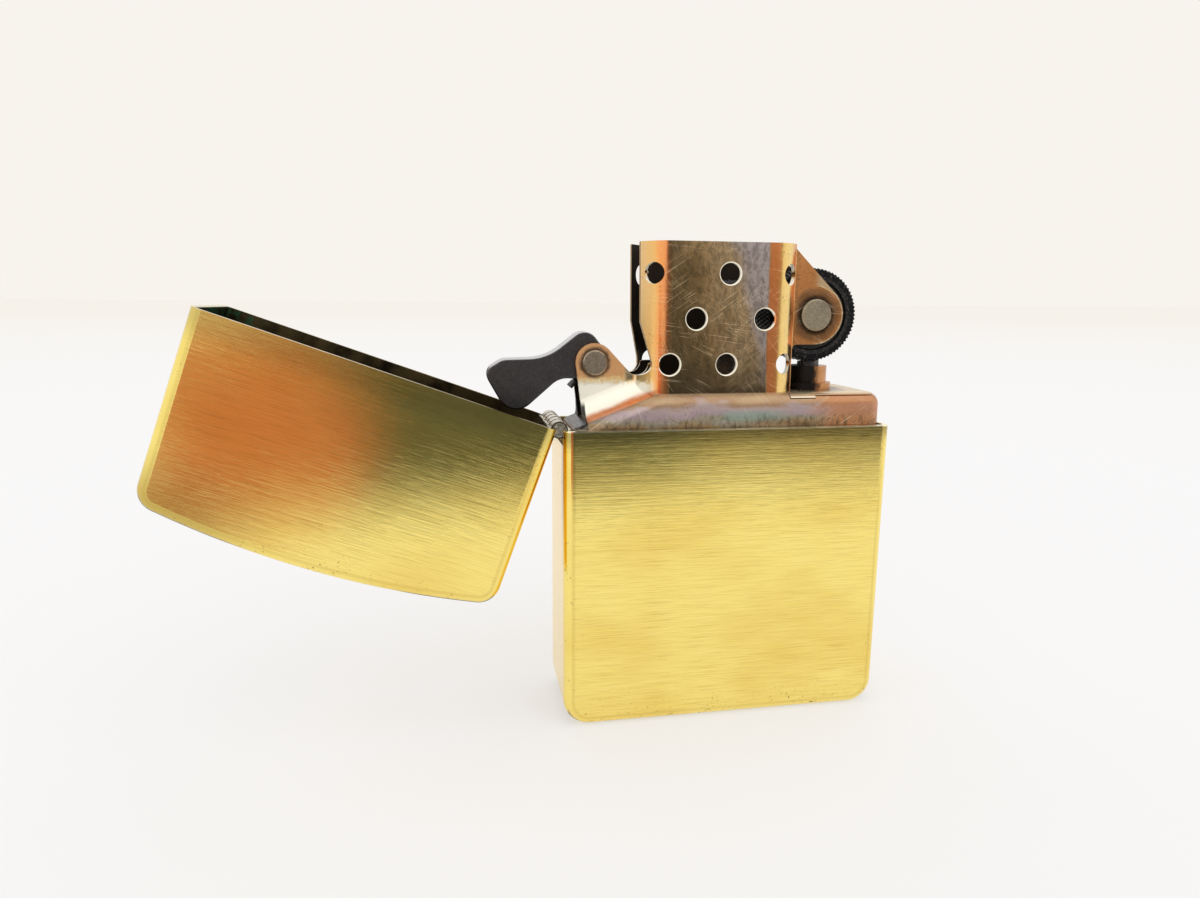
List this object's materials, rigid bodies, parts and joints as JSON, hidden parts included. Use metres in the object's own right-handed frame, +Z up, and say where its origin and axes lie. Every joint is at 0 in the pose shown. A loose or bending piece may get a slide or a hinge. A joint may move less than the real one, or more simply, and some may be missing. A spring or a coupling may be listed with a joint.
{
  "type": "pocket lighter",
  "caption": "Refillable pocket lighter with a hinged brass lid, a perforated chimney, a striker wheel and a lift-out insert.",
  "frame": {"origin": "centre of the case's flat bottom face", "axes": "+X along the width away from the hinge, +Y from the front face to the back face, +Z up; stored with the lid open"},
  "size_m": [0.0812, 0.0126, 0.0548],
  "materials": {
    "case_brass": "brushed faces with polished round edges",
    "lid_brass": "brushed faces with polished round edges, dark inside",
    "hinge_steel": "worn nickel",
    "insert_metal": "polished, heat-tinted and scratched",
    "plate_metal": "polished, heat-tinted",
    "tube_metal": "copper coloured, sooty",
    "flint_alloy": "rough",
    "plunger_brass": "turned",
    "spring_steel": "dark spring steel",
    "screw_brass": "turned and slotted",
    "wheel_steel": "black knurled",
    "cam_steel": "dark satin",
    "rivet_steel": "dull nickel",
    "wick_cotton": "braided, charred tip",
    "strand_copper": "bare copper wire",
    "cotton": "loose cotton",
    "felt": "pressed felt"
  },
  "bodies": {
    "case": {"case_bottom": "case_brass", "hinge_leaf_lower": "hinge_steel", "hinge_pin": "hinge_steel"},
    "lid": {"case_lid": "lid_brass", "hinge_leaf_upper": "hinge_steel"},
    "insert": {"insert_shell": "insert_metal", "insert_top_plate": "plate_metal", "flint_tube": "tube_metal", "wheel_rivet": "rivet_steel", "cam_rivet": "rivet_steel", "cam_spring": "spring_steel", "spring_rivet": "rivet_steel", "wick": "wick_cotton", "wick_strands": "strand_copper", "cotton_pad_1": "cotton", "cotton_pad_2": "cotton", "cotton_pad_3": "cotton", "cotton_pad_4": "cotton", "cotton_pad_5": "cotton", "felt_pad": "felt"},
    "cam_lever": {"cam": "cam_steel"},
    "wheel": {"striker_wheel": "wheel_steel"},
    "flint_stack": {"flint": "flint_alloy", "flint_plunger": "plunger_brass", "flint_spring": "spring_steel"},
    "screw": {"flint_screw": "screw_brass"}
  },
  "joints": [
    {"name": "lid_hinge", "type": "hinge", "parent": "case", "child": "lid", "pos_m": [-0.0194, 0, 0.0345], "axis": [0, -1, 0], "range_deg": [-160, 0]},
    {"name": "insert_slide", "type": "slide", "parent": "case", "child": "insert", "axis": [0, 0, 1], "range_m": [0, 0.04]},
    {"name": "cam_swing", "type": "hinge", "parent": "insert", "child": "cam_lever", "pos_m": [-0.01506, 0, 0.0416], "axis": [0, -1, 0], "range_deg": [-104, 0]},
    {"name": "wheel_spin", "type": "hinge", "parent": "insert", "child": "wheel", "pos_m": [0.01045, 0, 0.04695], "axis": [0, 1, 0], "continuous": true},
    {"name": "flint_slide", "type": "slide", "parent": "insert", "child": "flint_stack", "axis": [0, 0, 1], "range_m": [-0.0015, 0], "stiffness_N_per_m": 10, "springref_m": 0.002, "deforming": ["flint_spring"]},
    {"name": "flint_screw_turn", "type": "hinge", "parent": "insert", "child": "screw", "pos_m": [0.0112, 0, 0.005], "axis": [0, 0, 1], "continuous": true}
  ],
  "couplings": [
    {"joint": "cam_swing", "follows": "lid_hinge", "ratio": 0.65}
  ]
}
